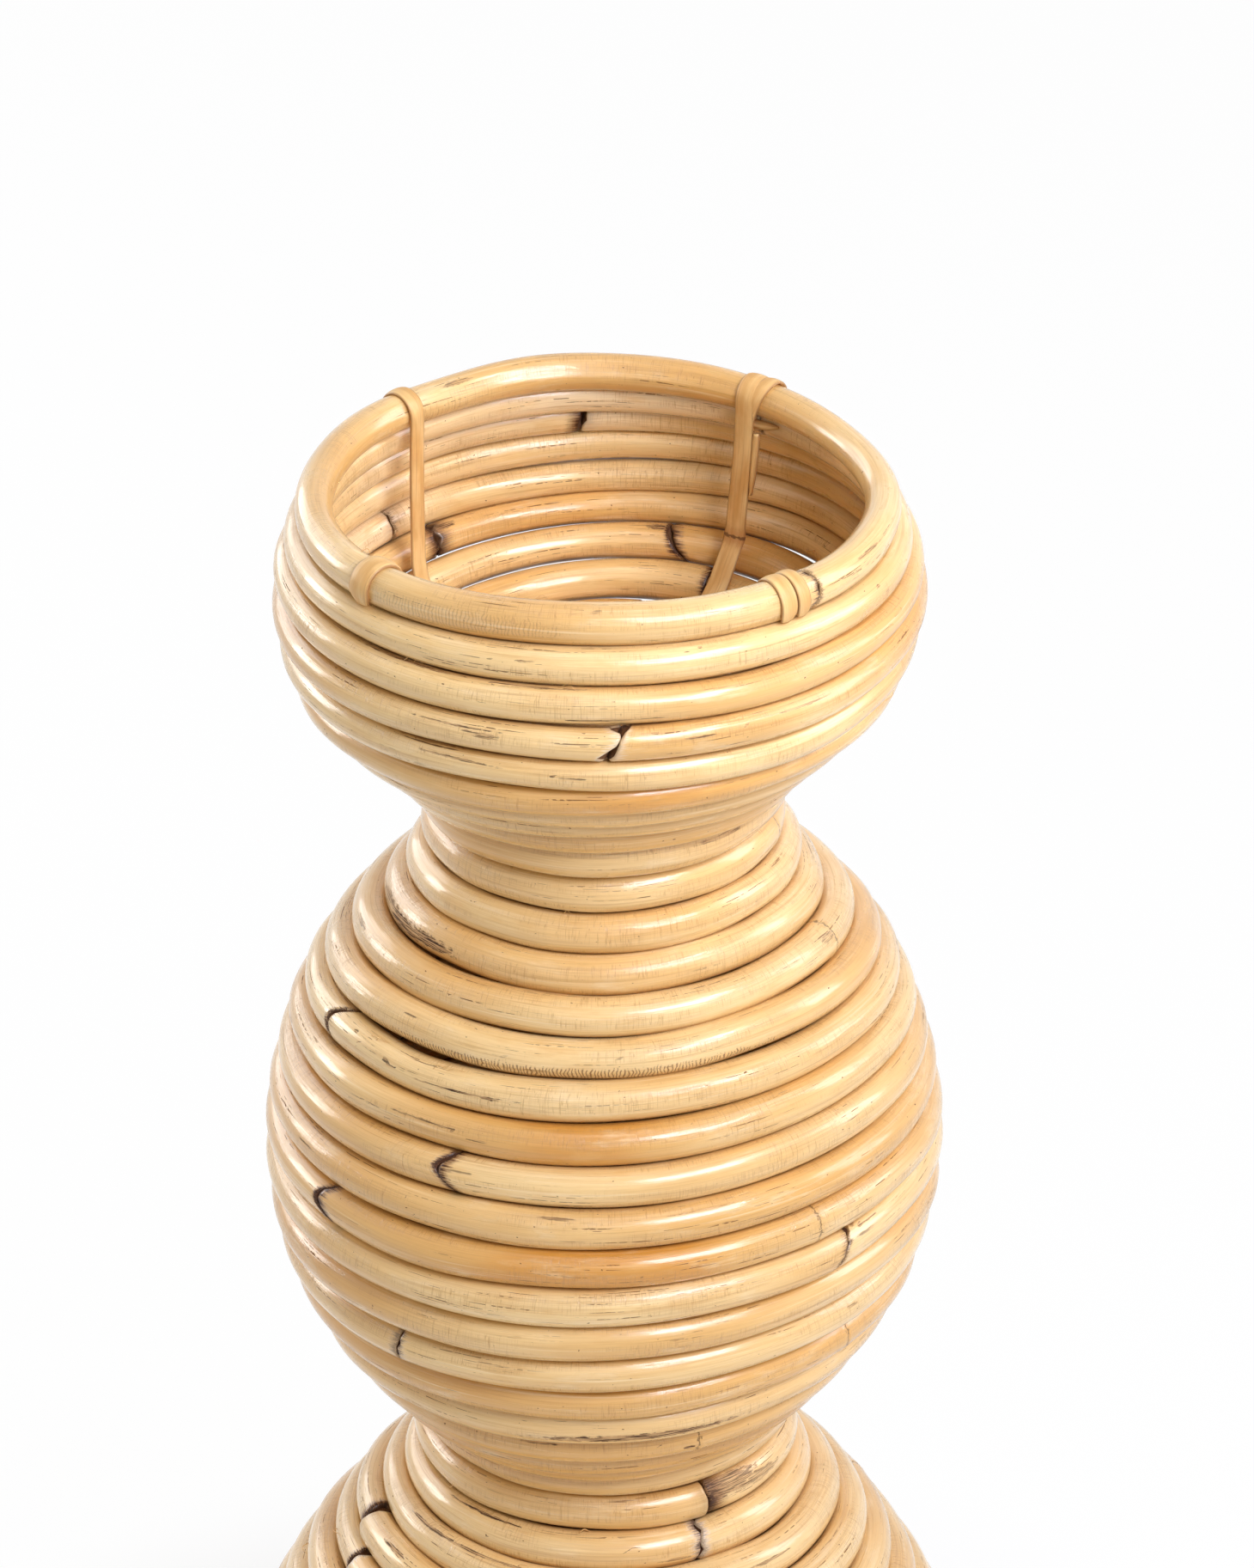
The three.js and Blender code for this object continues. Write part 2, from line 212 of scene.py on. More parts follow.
# Joints. turn: degrees from the solid's joint; gap: the opening; after, before: how far the cane's
# end after the joint (towards +X) and the one before it stand out and up; reach: over what length;
# slant, bow, bow_at, bow_wide: how the cut leans and bulges back, where and how widely; notches:
# section angle, half width in degrees, depth after and before; ragged, soften: how uneven and how
# rounded the ends are; stain, fringe: how dark and frayed they are after and before; soak: how far
# the stain reaches
PLAIN_JOINT = dict(
    turn=0, gap=0.35, after=(0, 0), before=(0, 0), reach=25, slant=0.1, bow=0, bow_at=20,
    bow_wide=48, notches=(), ragged=0.3, soften=0.9, stain=(0.8, 0.8), soak=1.6,
    fringe=(0.4, 0.4))
JOINT_LOOKS = {
    1: dict(gap=0.5, slant=0.12, bow=-2, ragged=0.5, stain=(0.5, 0.8), soak=1.4,
        fringe=(0.1, 0.1)),
    2: dict(gap=0.4, stain=(0.3, 0.3), soak=1, fringe=(1, 1)),
    3: dict(turn=1, gap=0.5, slant=-0.25, notches=((190, 16, 1.2, 2.2),), ragged=0.5,
        stain=(1, 0.2), soak=4),
    4: dict(gap=0.1, slant=0.5, notches=((86, 20, 3, 5.5), (-32, 30, 1, 6)), reach=16,
        after=(-0.2, 0), before=(0.5, 0), stain=(0.1, 0.15), soak=1, fringe=(0.5, 0.7)),
    5: dict(gap=0.4, stain=(0.3, 0.4), soak=1),
    6: dict(turn=-5, gap=1.2, ragged=0.9, stain=(1, 0.8), soak=4, fringe=(0.5, 0.5)),
    7: dict(turn=2, gap=0.5, slant=0.8, notches=((120, 26, 0.6, 1.2),), ragged=0.4, stain=(1, 0.9),
        soak=2.2),
    8: dict(turn=4, gap=0.6, slant=0.2, ragged=0.5, stain=(1, 0.7), soak=2.5),
    16: dict(turn=-3, slant=0.5, bow=8, bow_at=34, bow_wide=46, reach=34, after=(-0.2, -0.5),
        before=(0.3, 0.1), soften=1.6, ragged=0.35, stain=(0.6, 0.9), soak=1.3, fringe=(0.1, 0.5)),
    18: dict(turn=1, gap=0.5, slant=-0.1, bow=9, bow_at=26, bow_wide=50, reach=16, after=(0.3, 0),
        before=(-0.3, 0), ragged=0.6, stain=(1, 1), soak=2, fringe=(0.1, 0.5)),
    20: dict(turn=2, gap=0.45, bow=11, bow_at=26, bow_wide=42, reach=14, after=(-0.2, 0),
        before=(0.4, 0), ragged=0.5, stain=(1, 1), soak=2, fringe=(0.4, 0.1)),
    21: dict(turn=0.7, gap=0.3, slant=0.8, ragged=0.6,
        notches=((75, 18, 1.2, 2.2), (-15, 12, 0.2, 1.4)), stain=(0.7, 0.5), fringe=(0, 0)),
    23: dict(gap=0.25, reach=14, before=(-0.3, 0), ragged=0.4, stain=(0.8, 0.5),
        fringe=(0.7, 0.3)),
    30: dict(slant=-0.1, reach=14, after=(-0.9, 0.1), before=(0.7, 0), soften=1.8, stain=(1, 0.2),
        soak=5, fringe=(0.3, 0)),
    31: dict(gap=0.5, slant=0.15, reach=18, after=(0.3, 0), before=(-0.3, 0.3), ragged=0.8,
        stain=(0.4, 0.8), fringe=(1, 1)),
    33: dict(turn=-4, gap=0.6, reach=18, after=(0.9, -0.2), before=(-0.9, 0.2), soften=2.6,
        ragged=0.4, notches=((100, 34, 2, 2.6),), stain=(0.2, 1), soak=3, fringe=(0, 1)),
    34: dict(turn=-4, gap=0.8, reach=18, after=(0.8, -0.2), before=(-0.7, 0.2), ragged=0.7,
        notches=((100, 30, 1.6, 1.8),), stain=(0.4, 1), fringe=(1, 0.5)),
}


def joint_look(count):
    return {**PLAIN_JOINT, **JOINT_LOOKS.get(count, {})}


# Uneven places: hoop, azimuth, degrees each way, and how much thinner, further out and higher the
# cane is there
UNEVEN_PLACES = [
    (1, 180, 75, 0.5, 0, 0), (1, 0, 70, -0.4, 0, 0), (6, 190, 55, 0.15, 0, 0),
    (7, 190, 60, 0.5, 0, 0), (7, 132, 8, 0.15, 0, 0), (8, 192, 45, 0.5, 0, 0),
    (8, 146, 9, 0.4, 0, 0), (7, 172, 6, -0.25, 0, 0), (16, -44, 11, 1.1, 0.1, -1),
    (16, -57, 8, 0.5, 0, -0.3), (31, -82, 36, 1.1, -0.8, 0.8), (32, -82, 36, 1.4, -2.6, 2.6),
    (33, -82, 36, 0.1, -3.7, 3.7), (34, -82, 36, 1, -4.5, 4.5), (35, -82, 36, -0.8, -4.2, 4.2),
    (36, -82, 36, -1.1, -2.8, 2.8), (37, -82, 36, -0.9, -1.2, 1.2),
]

SHAPE_SEED, LOOK_SEED, STRIP_SEED = 4100, 7300, 60
# Size, slowest and fastest of the waves
OUT_WAVES, UP_WAVES, CANE_WAVES = (0.22, 4, 10), (0.14, 4, 9), (0.13, 2, 12)
MOST_TAPER = 0.4


def hoop_shape(k, azimuth, arc, length):
    """Middle line's radius and height, and cane radius, at azimuths along hoop k (from 0)."""
    rng = np.random.default_rng(SHAPE_SEED + k)
    shapes = (MIDDLE_RADIUS, OUT_WAVES), (MIDDLE_HEIGHT, UP_WAVES), (CANE_RADIUS, CANE_WAVES)
    r, z, cane = (np.interp(azimuth, GRID, smooth[k], period=TURN) + waves(rng, azimuth, *uneven)
                  for smooth, uneven in shapes)
    cane = cane + (arc / length - 0.5) * rng.uniform(-MOST_TAPER, MOST_TAPER)
    for hoop, middle, width, thinner, out, rise in UNEVEN_PLACES:
        if hoop == k + 1:
            share = near(np.degrees(azimuth), middle, width)
            r, z, cane = r + out * share, z + rise * share, cane - thinner * share
    look = joint_look(k + 1)
    for distance, (out, rise) in ((arc, look["after"]), (length - arc, look["before"])):
        fade = np.exp(-(distance / look["reach"]) ** 2)
        r = r + out * fade
        z = z + rise * fade
    return r, z, cane


def start_of(k, look):
    """Azimuth where hoop k's cane starts, its middle radius, and its length from cut to cut."""
    radius = MIDDLE_RADIUS[k].mean()
    opening = look["gap"] / radius
    return math.radians(JOINTS[k] + look["turn"]) + opening / 2, radius, (TURN - opening) * radius


def hoop_centre(k, azimuth):
    """Radius and height of hoop k's cane at one azimuth, with its cane radius, as built."""
    start, radius, length = start_of(k, joint_look(k + 1))
    arc = ((azimuth - start) % TURN) * radius
    r, z, cane = hoop_shape(k, np.array([azimuth]), np.array([arc]), length)
    return r[0], z[0], cane[0]


# ---- canes
SECTION_POINTS = 24
THETA = np.arange(SECTION_POINTS) / SECTION_POINTS * TURN
STEP = 4.5  # of the rings along a cane
FINE_STEP = 0.8  # near a cane's ends and nodes
FINE_REACH = 7.0
FAR = 99.0  # stands for no node near
GRAIN_APART = 1700.0  # from one cane's grain to the next one's


def stations(length, nodes):
    """Distances along a cane at which it gets a ring of points, closer at its ends and nodes."""
    marks = list(np.linspace(0, length, max(3, round(length / STEP) + 1)))
    for place in [0.0, length, *nodes]:
        marks += list(np.arange(place - FINE_REACH, place + FINE_REACH + 0.01, FINE_STEP))
    marks = np.unique(np.round([m for m in marks if 0 <= m <= length], 3))
    keep = [marks[0]]
    closest = FINE_STEP * 0.6
    for m in marks[1:-1]:
        if m - keep[-1] > closest and length - m > closest:
            keep.append(m)
    return np.array([*keep, length])


def tube_faces(rings, sides, flipped=False):
    """Quads round a tube of rings; flipped, they face the other way."""
    i = np.arange(rings - 1)[:, None] * sides
    a = np.arange(sides)[None, :]
    b = (a + 1) % sides
    corners = [i + a, i + b, i + sides + b, i + sides + a]
    if flipped:
        corners[1], corners[3] = corners[3], corners[1]
    return np.stack(corners, -1).reshape(-1, 4).tolist()


def closed_tube(rings, sides):
    points = list(range(rings * sides))
    return [*tube_faces(rings, sides), points[:sides][::-1], points[-sides:]]


def write_mesh(name, vertices, faces, attributes, materials, face_materials=None):
    mesh = bpy.data.meshes.new(name)
    mesh.from_pydata((np.asarray(vertices) * MM).tolist(), [], faces)
    mesh.update()
    for key, values in attributes.items():
        values = np.asarray(values, np.float32)
        vector = values.ndim == 2
        made = mesh.attributes.new(key, "FLOAT_VECTOR" if vector else "FLOAT", "POINT")
        made.data.foreach_set("vector" if vector else "value", values.ravel())
    for material in materials:
        mesh.materials.append(material)
    if face_materials is not None:
        mesh.polygons.foreach_set("material_index", np.asarray(face_materials, np.int32))
    mesh.polygons.foreach_set("use_smooth", [True] * len(mesh.polygons))
    return add_object(name, mesh)


def cut_line(look, rng, side):
    """How far along the cane its cut end lies at each section angle; side 0 is after the joint."""
    degrees = np.degrees(THETA)
    line = waves(rng, THETA, look["ragged"], 3, 11)
    line = line - look["bow"] * near(degrees, look["bow_at"], look["bow_wide"])
    for middle, width, *depths in look["notches"]:
        line = line + (depths[0], -depths[1])[side] * near(degrees, middle, width)
    return line


def neighbour_angles(k):
    """Section angles at which the hoops above and below touch hoop k."""
    angles = []
    for other in (k - 1, k + 1):
        if 0 <= other < HOOPS:
            across, up = CENTRES[other] - CENTRES[k]
            angles.append(math.atan2(up, across))
    return angles


# Marks, hoop by hoop: azimuth, section angle, half length, half width, and how dark; a comb of
# cracks across the cane has less than 0, down to -1
MARKS = {
    1: [(-34, 36, 24, 0.35, 0.9), (-27, 4, 42, 4.6, -0.4), (-1, 60, 1, 0.6, 0.8),
        (20, 55, 1.2, 0.7, 0.7), (-35, 4, 15, 0.6, 0.7), (62, 40, 9, 0.8, 0.7),
        (-146, 118, 9, 1.3, 0.7)],
    2: [(-14, 30, 4, 0.5, 0.9), (18, 60, 1, 0.6, 0.8), (63, 40, 1.3, 0.9, 1),
        (-24, 24, 5, 0.3, 0.7)],
    3: [(-38, 84, 26, 0.8, 1), (-8, 78, 14, 0.6, 0.9), (-3, -26, 9, 0.5, 0.9),
        (8, -22, 7, 0.5, 0.9), (-170, 100, 11, 0.9, 0.8)],
    4: [(-26, 36, 18, 0.6, 0.9), (-20, 12, 6, 0.6, 0.8), (17, 22, 8, 0.5, 0.8),
        (38, 40, 16, 0.5, 0.6)],
    5: [(-33, 68, 20, 0.8, 1), (-28, 30, 13, 0.6, 0.8), (-16, 20, 9, 0.5, 0.9),
        (-5, 8, 6, 0.5, 0.8)],
    6: [(-146, 110, 5, 2, 0.9)],
    7: [(167, 100, 6.5, 2.2, 1)],
    10: [(34, 20, 12, 1, 0.7)],
    11: [(-12, 70, 14, 0.6, 0.6)],
    13: [(-77, 10, 14, 3.8, 0.8), (-64, 0, 15, 4.2, 1), (-51, 3, 14, 3, 1)],
    14: [(-78, 40, 9, 1.2, 0.6), (65, 40, 5, 2.2, 0.6)],
    15: [(-45, 44, 3, 0.5, 0.9), (-43, 40, 0.9, 0.6, 0.8), (-37, 38, 0.9, 0.6, 0.8),
        (-30, 10, 0.8, 0.6, 0.9), (-22, 16, 1.2, 0.9, 0.9), (-18, 4, 0.8, 0.6, 0.8),
        (3, 30, 1, 0.7, 1), (-12, -24, 95, 3.6, -1)],
    16: [(-29, 16, 22, 0.5, 1), (-22, 10, 1.6, 0.8, 1), (-57, 50, 1.5, 0.9, 0.8),
        (-47, 30, 1.6, 0.8, 0.8)],
    17: [(-44, 40, 9, 0.5, 0.9), (-34, 26, 18, 0.6, 0.8), (-24, 10, 5, 0.6, 0.7)],
    18: [(-24, 30, 6, 0.6, 0.6)],
    19: [(-8, 54, 8, 0.8, 0.6), (-62, 20, 7, 0.5, 0.8)],
    21: [(49, 78, 3, 2, 0.9), (53, 56, 9, 0.5, 0.8), (52, 30, 8, 0.5, 0.6)],
    23: [(50, 20, 4, 0.8, 0.6)],
    25: [(7, -21, 44, 2, 1)],
    26: [(18, -20, 2.2, 1.1, 1), (-14, 20, 8, 0.6, 0.9)],
    30: [(42, 34, 15, 5, 0.8), (55, 10, 12, 2, 0.6)],
    31: [(-40, 70, 22, 0.8, 1), (20, -10, 6, 0.8, 0.7)],
    32: [(-55, 70, 16, 1, 0.9), (-32, 74, 18, 0.7, 0.9), (45, 30, 10, 0.8, 0.7)],
    33: [(-60, 60, 9, 1, 0.9), (40, 20, 12, 0.7, 0.8)],
    34: [(-60, 50, 12, 0.8, 0.9)],
}
# Nodes, which show as fine rings: hoop and azimuth
NODES = [(11, 70), (14, 68), (20, 40), (24, 52), (26, 20), (28, -40)]
SEEN_INSIDE = 9  # the photograph shows these hoops' inner sides, and so all of their nodes
HIDDEN_SIDE = (110, 250)

# How warm a hoop is, from -1, straw, to 1, deep honey; the deep tones of hoops 27 to 29 are painted
# shade on the low neck. Then warmer or paler places: first and last hoop, azimuth, degrees each
# way, how much; the paler places at the back of hoops 2 to 5 are painted light on their inner sides
TONES = {
    1: 0.2, 4: 0.2, 5: -0.5, 7: 0.2, 8: 0.3, 9: 0.35, 10: 0.5, 12: -0.6, 13: -0.1, 14: -0.6,
    15: 0.1, 17: 0.2, 19: 0.3, 20: 0.3, 22: 0.4, 23: 0.2, 24: 0.9, 25: 0.1, 26: 0.3, 27: 0.8,
    28: 1, 29: 0.9, 31: -0.3, 32: -0.3, 33: -0.3,
}
WARM_PLACES = [
    (17, 17, -2, 17, 1.9), (17, 17, -30, 20, 0.5), (20, 20, -4, 20, 1.4), (20, 20, 10, 10, 0.5),
    (1, 1, -18, 22, 0.8), (2, 2, 180, 50, -1.6), (3, 3, 180, 50, -1.4), (4, 4, 180, 60, -0.9),
    (5, 5, 190, 60, -0.4), (2, 5, 66, 22, 0.9), (6, 6, 66, 22, 0.6), (6, 6, 175, 60, 0.2),
    (7, 7, 170, 60, 0.2), (8, 8, 170, 60, 0.1), (2, 5, -125, 20, -0.8),
]
TONE_WAVES, TONE_SPREAD = (0.24, 1, 5), 0.08

OVAL, OVAL_TWIST = 0.012, 0.6
NODE_RING, NODE_GROOVE = (0.35, 3.2), (0.3, 0.8)  # how high or deep, and how wide
CREASE_DEPTH = 1.1  # of the crease along the back of the rim cane
CREASE_AT, CREASE_WIDE = (186, 146), (44, 15)  # azimuth and section angle
SLANT_REACH = 8
END_RING = 0.55  # the inner ring of a cut end, as a share of the outer one
END_HOLLOW = (0.25, 0.35)  # how deep that ring and the middle lie
NO_MARK = (9.0, 9.0, 0.0)


def arc_to(azimuth, start, radius):
    return ((math.radians(azimuth) - start) % TURN) * radius


def node_places(count, start, radius, rng):
    azimuths = [azimuth for hoop, azimuth in NODES if hoop == count]
    if count > SEEN_INSIDE:
        azimuths.append(rng.uniform(*HIDDEN_SIDE))
    return [arc_to(azimuth, start, radius) for azimuth in azimuths]


def cane_section(count, look, nodes, s, azimuth, z, cane, rng):
    """Skin's distance from the middle line at each station (rows) and section angle, and how far
    each station is from the nearest node."""
    twist = OVAL_TWIST * np.sin(2 * azimuth)[:, None]
    rho = cane[:, None] * (1 + OVAL * np.cos(2 * (THETA - rng.uniform(0, TURN)) + twist))
    node_at = np.full(len(s), FAR)
    for node in nodes:
        d = s - node
        ring, groove = (size * bump_at(d, 0, width) for size, width in (NODE_RING, NODE_GROOVE))
        rho = rho + (ring - groove)[:, None]
        node_at = np.where(abs(d) < abs(node_at), d, node_at)
    inward = np.clip(1 - np.minimum(s, s[-1] - s) / look["soften"], 0, 1)
    rho = rho - look["soften"] * (1 - np.sqrt(np.clip(1 - inward ** 2, 0, 1)))[:, None]
    if count == 1:
        along, around = (near(np.degrees(angle), middle, width) for angle, middle, width
                         in zip((azimuth, THETA), CREASE_AT, CREASE_WIDE))
        rho = rho - CREASE_DEPTH * along[:, None] * around
    if count == HOOPS:  # the foot is planed flat to stand
        drop, height = -np.sin(THETA) * rho, z[:, None]
        share = np.divide(height, drop, out=np.ones_like(rho), where=drop > 0.1)
        rho = np.where(drop > height, rho * share, rho)
    return rho, node_at


def cut_ends(points, cane_at, ahead):
    """A ring and a middle point inside each cut end, a little hollow: points, cane_at and faces."""
    rings, sides = points.shape[:2]
    extra, extra_at, faces = [], [], []
    for ring, sign in ((0, -1), (rings - 1, 1)):
        base = ring * sides
        inner = rings * sides + len(extra)
        middle = points[ring].mean(0)
        sunk, sunk_middle = (middle - ahead[ring] * sign * depth for depth in END_HOLLOW)
        extra += [*(sunk + (points[ring] - middle) * END_RING), sunk_middle]
        extra_at += [*(cane_at[ring] * (1, END_RING, END_RING)), cane_at[ring, 0] * (1, 0, 0)]
        for j in range(sides):
            n = (j + 1) % sides
            quad = [base + j, base + n, inner + n, inner + j]
            fan = [inner + j, inner + n, inner + sides]
            faces += [quad[::-sign], fan[::-sign]]
    return extra, extra_at, faces


def marks_on(count, s, start, radius):
    """For each point of the skin, its place on the nearest mark, in half lengths and half widths,
    and how dark that is."""
    place = np.tile(NO_MARK, (len(s), SECTION_POINTS, 1))
    for azimuth, section, half_length, half_width, dark in MARKS.get(count, ()):
        along = (s - arc_to(azimuth, start, radius)) / half_length
        around = (THETA - math.radians(section) + math.pi) % TURN - math.pi
        around = around * HALF[count - 1] / half_width
        here = np.stack(np.broadcast_arrays(along[:, None], around, dark), -1)
        nearer = np.hypot(here[..., 0], here[..., 1]) < np.hypot(place[..., 0], place[..., 1])
        place[nearer] = here[nearer]
    return place.reshape(-1, 3)


def make_hoop(k, materials):
    count = k + 1
    rng = np.random.default_rng(LOOK_SEED + k)
    look = joint_look(count)
    start, radius, length = start_of(k, look)
    nodes = node_places(count, start, radius, rng)
    s = stations(length, nodes)
    azimuth = start + s / radius
    r, z, cane = hoop_shape(k, azimuth, s, length)
    rho, node_at = cane_section(count, look, nodes, s, azimuth, z, cane, rng)

    across = np.stack([np.sin(azimuth), -np.cos(azimuth), 0 * azimuth], 1)
    ahead = np.stack([np.cos(azimuth), np.sin(azimuth), 0 * azimuth], 1)
    out, up = rho * np.cos(THETA), rho * np.sin(THETA)
    lean = np.zeros_like(rho)
    for side, distance in enumerate((s, length - s)):
        line = cut_line(look, rng, side)
        lean += np.exp(-distance / (1.7 * abs(line).max() + 0.5))[:, None] * line
        lean += look["slant"] * np.exp(-distance / SLANT_REACH)[:, None] * up
    points = across[:, None] * (r[:, None] + out)[..., None] + ahead[:, None] * lean[..., None]
    points[..., 2] = z[:, None] + up

    cane_at = np.stack(np.broadcast_arrays(s[:, None] + GRAIN_APART * k, out, up), -1)
    extra, extra_at, end_faces = cut_ends(points, cane_at, ahead)
    faces = tube_faces(*rho.shape, flipped=True)
    face_materials = [0] * len(faces) + [1] * len(end_faces)

    def whole(per_ring, at_ends):
        return np.concatenate([np.repeat(per_ring, SECTION_POINTS), np.full(len(extra), at_ends)])

    seat = np.max([np.cos(THETA - a) for a in neighbour_angles(k)], axis=0)
    # The tone holds each cane's colour drift, and also painted light at the inner back and painted
    # shade on the low neck
    tone = waves(rng, azimuth, *TONE_WAVES) + TONES.get(count, 0) + rng.normal() * TONE_SPREAD
    for first, last, middle, width, much in WARM_PLACES:
        if first <= count <= last:
            tone = tone + much * near(np.degrees(azimuth), middle, width)
    joint = [whole(np.where(s < length / 2, *look[key]), 0.0) for key in ("stain", "fringe")]
    joint.append(np.full(len(joint[0]), look["soak"]))
    attributes = {
        "cane_at": np.vstack([cane_at.reshape(-1, 3), extra_at]),
        "mark": np.vstack([marks_on(count, s, start, radius), np.tile(NO_MARK, (len(extra), 1))]),
        "node_at": whole(node_at, FAR),
        "end_at": whole(np.minimum(s, length - s), 0.0),
        "tone": whole(tone, 0.0),
        "seat": np.concatenate([np.tile(seat, len(s)), np.full(len(extra), -1.0)]),
        "joint": np.stack(joint, 1),
    }
    name = RIM_TO_FOOT[k].replace("hoop", "cane")
    vertices = np.vstack([points.reshape(-1, 3), extra])
    piece = write_mesh(name, vertices, faces + end_faces, attributes, materials, face_materials)
    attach(piece, "root")
    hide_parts(RIM_TO_FOOT[k])


# ---- materials
def linear(*on_screen):
    """A colour given as 0 to 255 on screen, as the shader takes it."""
    shares = [v / 255 for v in on_screen]
    return (*(v / 12.92 if v <= 0.04045 else ((v + 0.055) / 1.055) ** 2.4 for v in shares), 1)


class Nodes:
    """Short calls that add nodes to a tree and link them."""

    def __init__(self, owner, output):
        owner.use_nodes = True
        self.tree = owner.node_tree
        self.tree.nodes.clear()
        self.surface = self.add(output).inputs[0]

    def add(self, kind, *values, **named):
        return self.fill(self.tree.nodes.new(kind), *values, **named)

    def fill(self, node, *values, **named):
        """Links or sets a node's inputs, in order or by name."""
        for key, value in [*enumerate(values), *named.items()]:
            self.put(node.inputs[key], value)
        return node

    def put(self, socket, value):
        if isinstance(value, bpy.types.NodeSocket):
            self.tree.links.new(value, socket)
        else:
            socket.default_value = value

    def attribute(self, name, output="Fac"):
        node = self.add("ShaderNodeAttribute")
        node.attribute_name = name
        return node.outputs[output]

    def math(self, kind, a, b=0.0, clamp=False):
        node = self.add("ShaderNodeMath")
        node.operation = kind
        node.use_clamp = clamp
        return self.fill(node, a, b).outputs[0]

    def plus(self, a, *more, clamp=False):
        for b in more:
            a = self.math("ADD", a, b, clamp)
        return a

    def minus(self, a, b, clamp=False):
        return self.math("SUBTRACT", a, b, clamp)

    def times(self, a, b, clamp=False):
        return self.math("MULTIPLY", a, b, clamp)

    def most(self, a, b):
        return self.math("MAXIMUM", a, b)

    def swing(self, noise, size):
        """A noise, which lies round a half, as something that lies round nothing."""
        return self.times(self.minus(noise, 0.5), size)

    def crest(self, noise):
        """How far a noise is from its middle, so that lines run where it crosses that."""
        return self.math("ABSOLUTE", self.minus(noise, 0.5))

    def distance(self, a, b):
        return self.math("SQRT", self.plus(self.times(a, a), self.times(b, b)))

    def split(self, vector):
        return self.add("ShaderNodeSeparateXYZ", vector).outputs

    def scaled(self, vector, by, moved):
        node = self.add("ShaderNodeVectorMath")
        node.operation = "MULTIPLY_ADD"
        return self.fill(node, vector, by, moved).outputs[0]

    def noise(self, vector, by, moved=(0, 0, 0), detail=2.0, roughness=0.5, distortion=0.0):
        at = self.scaled(vector, by, moved)
        node = self.add("ShaderNodeTexNoise", Vector=at, Scale=1, Detail=detail,
                        Roughness=roughness, Distortion=distortion)
        return node.outputs[0]

    def ramp(self, value, low, high, to_low=0.0, to_high=1.0):
        node = self.add("ShaderNodeMapRange")
        node.interpolation_type = "SMOOTHSTEP"
        return self.fill(node, value, low, high, to_low, to_high).outputs[0]

    def mix(self, share, a, b):
        node = self.add("ShaderNodeMix")
        node.data_type = "RGBA"
        node.clamp_factor = True
        for socket, value in zip((node.inputs[0], *node.inputs[6:8]), (share, a, b)):
            self.put(socket, value)
        return node.outputs[2]

    def either(self, share, a, b):
        """A mix of two shaders, at the end of the tree."""
        self.put(self.surface, self.add("ShaderNodeMixShader", share, a, b).outputs[0])

    def bump(self, height, distance, strength):
        node = self.add("ShaderNodeBump", Height=height, Distance=distance, Strength=strength)
        return node.outputs[0]

    def seen_plainly(self):
        """1 for the rays that show the white background, 0 for those that carry light."""
        rays = self.add("ShaderNodeLightPath").outputs
        mirrored = self.most(rays["Is Glossy Ray"], rays["Is Transmission Ray"])
        return self.most(rays["Is Camera Ray"], mirrored)


class Surface(Nodes):
    """A new material with its shader."""

    def __init__(self, name):
        self.material = bpy.data.materials.new(name)
        super().__init__(self.material, "ShaderNodeOutputMaterial")
        self.shader = self.add("ShaderNodeBsdfPrincipled")
        self.put(self.surface, self.shader.outputs[0])

    def give(self, name, value):
        self.put(self.shader.inputs[name], value)

    def paint(self, share, tint):
        """Covers a share of the colour so far with a tint."""
        self.colour = self.mix(share, self.colour, tint)

    def grain(self, along, across, moved=(0, 0, 0), **look):
        """Noise that follows the cane, by its fineness along and across it."""
        at = self.attribute("cane_at", "Vector")
        return self.noise(at, (along, across, across), moved, **look)


STRAW = linear(238, 202, 140)
HONEY = linear(222, 171, 97)
AMBER = linear(212, 147, 60)
PALE = linear(248, 222, 176)
BROWN = linear(112, 62, 26)
DARK = linear(48, 20, 8)
STREAK, FINE_STREAK = linear(192, 140, 72), linear(178, 124, 62)
DASH, CRACK, COMB = linear(104, 58, 20), linear(180, 128, 68), linear(128, 82, 40)
FRAYED = linear(240, 220, 190)
SCAR = (linear(182, 138, 92), linear(62, 36, 20))
# Painted shade for the grooves where the canes touch, lighter and deeper
GROOVE_SHADE, DEEP_GROOVE_SHADE = linear(172, 120, 62), linear(92, 56, 28)
PITH, PORE = (linear(150, 104, 62), linear(82, 46, 24)), linear(50, 28, 14)
SPLIT = (linear(234, 194, 130), linear(216, 164, 96))
SPLIT_STREAK, SPLIT_FINE = linear(186, 130, 70), linear(160, 108, 58)
SPLIT_EDGE, SPLIT_NODE = linear(140, 90, 46), (linear(172, 108, 52), linear(92, 56, 30))
VENEER, VENEER_PORE = (linear(206, 168, 118), linear(176, 132, 84)), linear(128, 90, 54)

# The cane's glassy skin
SPECULAR = 0.3
COAT, COAT_ROUGHNESS = 0.9, 0.12
COMB_TEETH = 4.4  # radians of the comb's wave to the millimetre


